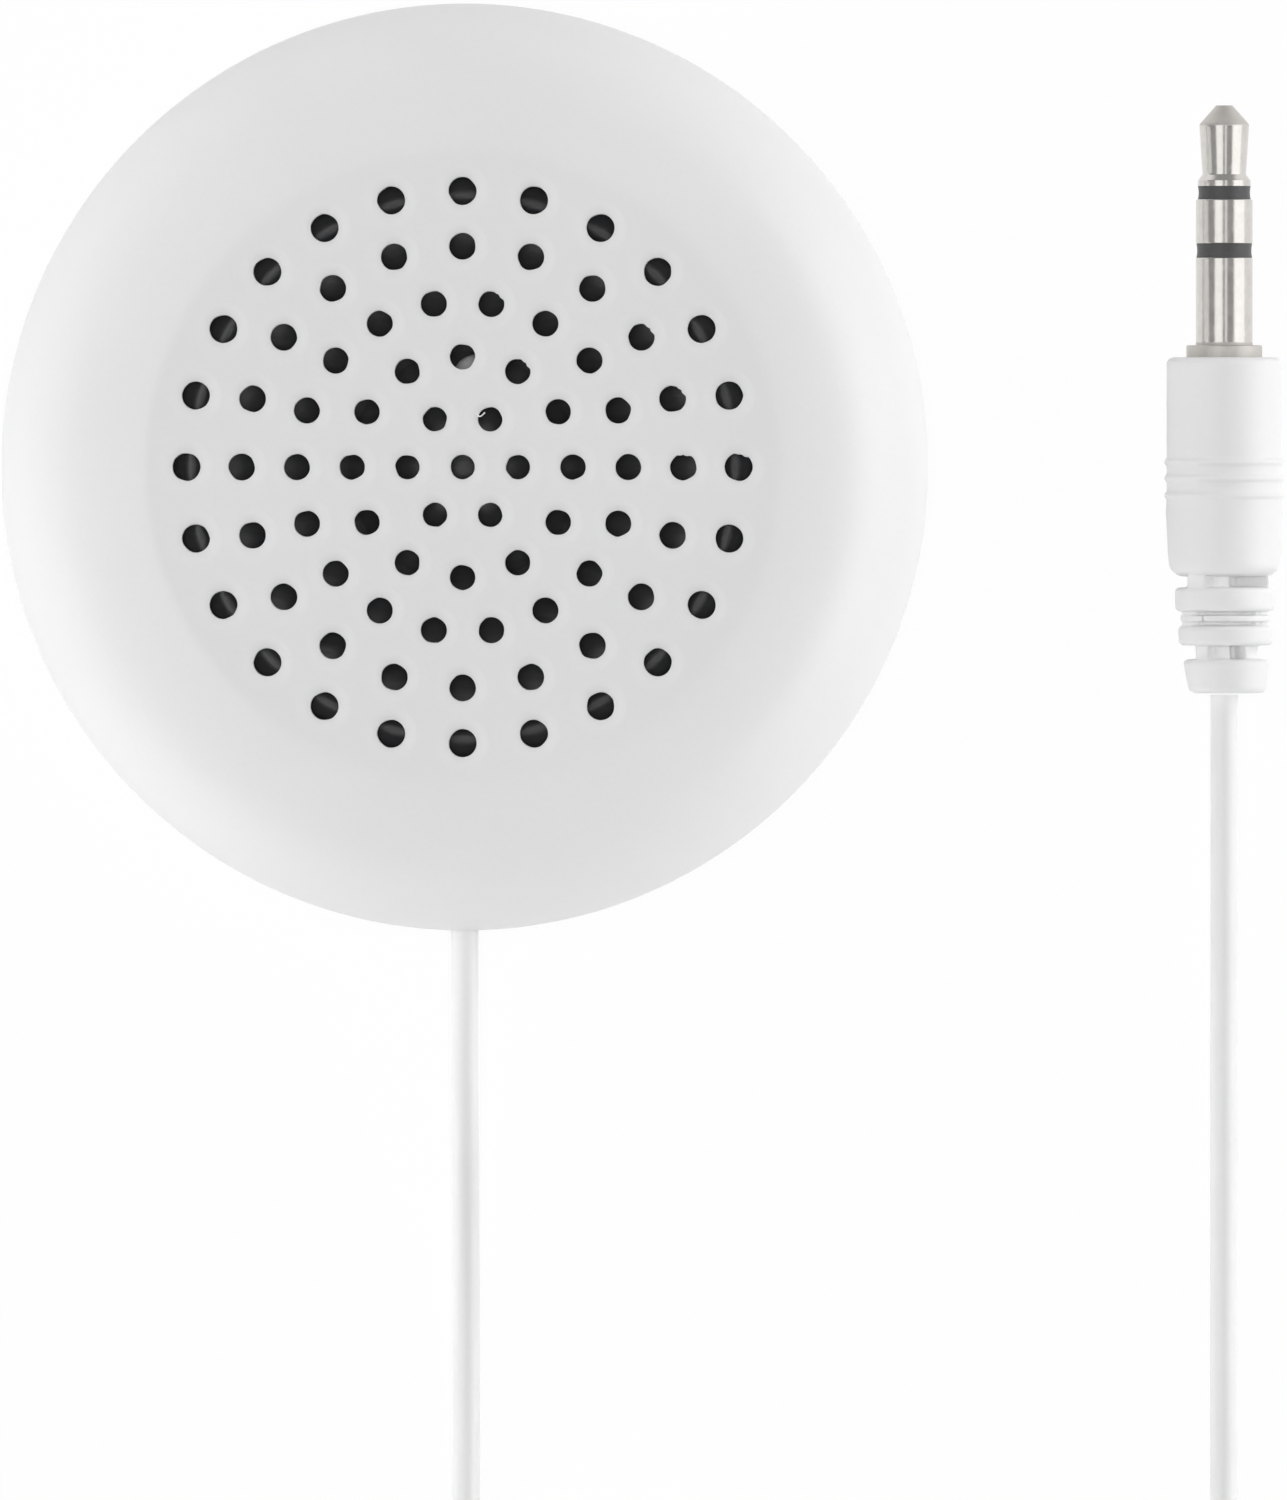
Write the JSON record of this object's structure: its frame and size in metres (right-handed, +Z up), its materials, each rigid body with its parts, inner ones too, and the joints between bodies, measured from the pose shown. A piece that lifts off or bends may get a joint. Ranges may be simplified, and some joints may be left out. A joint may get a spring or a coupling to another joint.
{
  "type": "pillow speaker",
  "caption": "Round pillow-shaped loudspeaker with a flat perforated face, a thin white cord and a moulded stereo jack plug.",
  "frame": {"origin": "centre of the footprint of the speaker's flat back, cord and plug left out", "axes": "+Z up, out through the grille; the cord leaves the housing towards -Y and the plug lies on the +X side, pointing to +Y"},
  "size_m": [0.0789, 0.1225, 0.017],
  "materials": {
    "housing_abs": "semi-matte moulded ABS, white",
    "screw_zinc": "zinc-plated steel",
    "gasket_card": "black pressed card",
    "film_black": "glossy black polyester film",
    "former_paper": "brown paper",
    "copper_wire": "enamelled copper",
    "basket_steel": "black painted pressed steel",
    "zinc_steel": "zinc-plated steel",
    "magnet_nickel": "nickel-plated sintered magnet",
    "foam_grey": "open-cell grey foam",
    "board_laminate": "brown paper laminate",
    "tag_brass": "tinned brass",
    "solder_tin": "bright solder",
    "lead_white": "white wire insulation",
    "lead_red": "red wire insulation",
    "set_glue": "set pale glue",
    "tie_nylon": "natural nylon",
    "cord_pvc": "satin soft PVC, white",
    "twist_tie_pvc": "white PVC-covered wire",
    "plug_pvc": "matte soft PVC, white",
    "plug_nickel": "bright nickel plate",
    "insulator_dark": "dark moulded plastic"
  },
  "bodies": {
    "root": {"front_shell": "housing_abs", "back_shell": "housing_abs", "shell_screws": "screw_zinc", "driver_gasket": "gasket_card", "diaphragm": "film_black", "voice_coil_former": "former_paper", "voice_coil_winding": "copper_wire", "driver_basket": "basket_steel", "magnet_cup": "zinc_steel", "magnet": "magnet_nickel", "pole_plate": "zinc_steel", "rear_foam_pad": "foam_grey", "terminal_board": "board_laminate", "terminal_tags": "tag_brass", "solder_joints": "solder_tin", "lead_wire_left": "lead_white", "lead_wire_right": "lead_red", "coil_lead_wires": "copper_wire", "glue_dot": "set_glue", "cord_tie": "tie_nylon", "cord_speaker_run": "cord_pvc", "cord_coil": "cord_pvc", "cord_plug_run": "cord_pvc", "coil_tie": "twist_tie_pvc", "plug_moulding": "plug_pvc", "plug_sleeve": "plug_nickel", "plug_insulator_rear": "insulator_dark", "plug_ring": "plug_nickel", "plug_insulator_front": "insulator_dark", "plug_tip": "plug_nickel"}
  },
  "joints": []
}
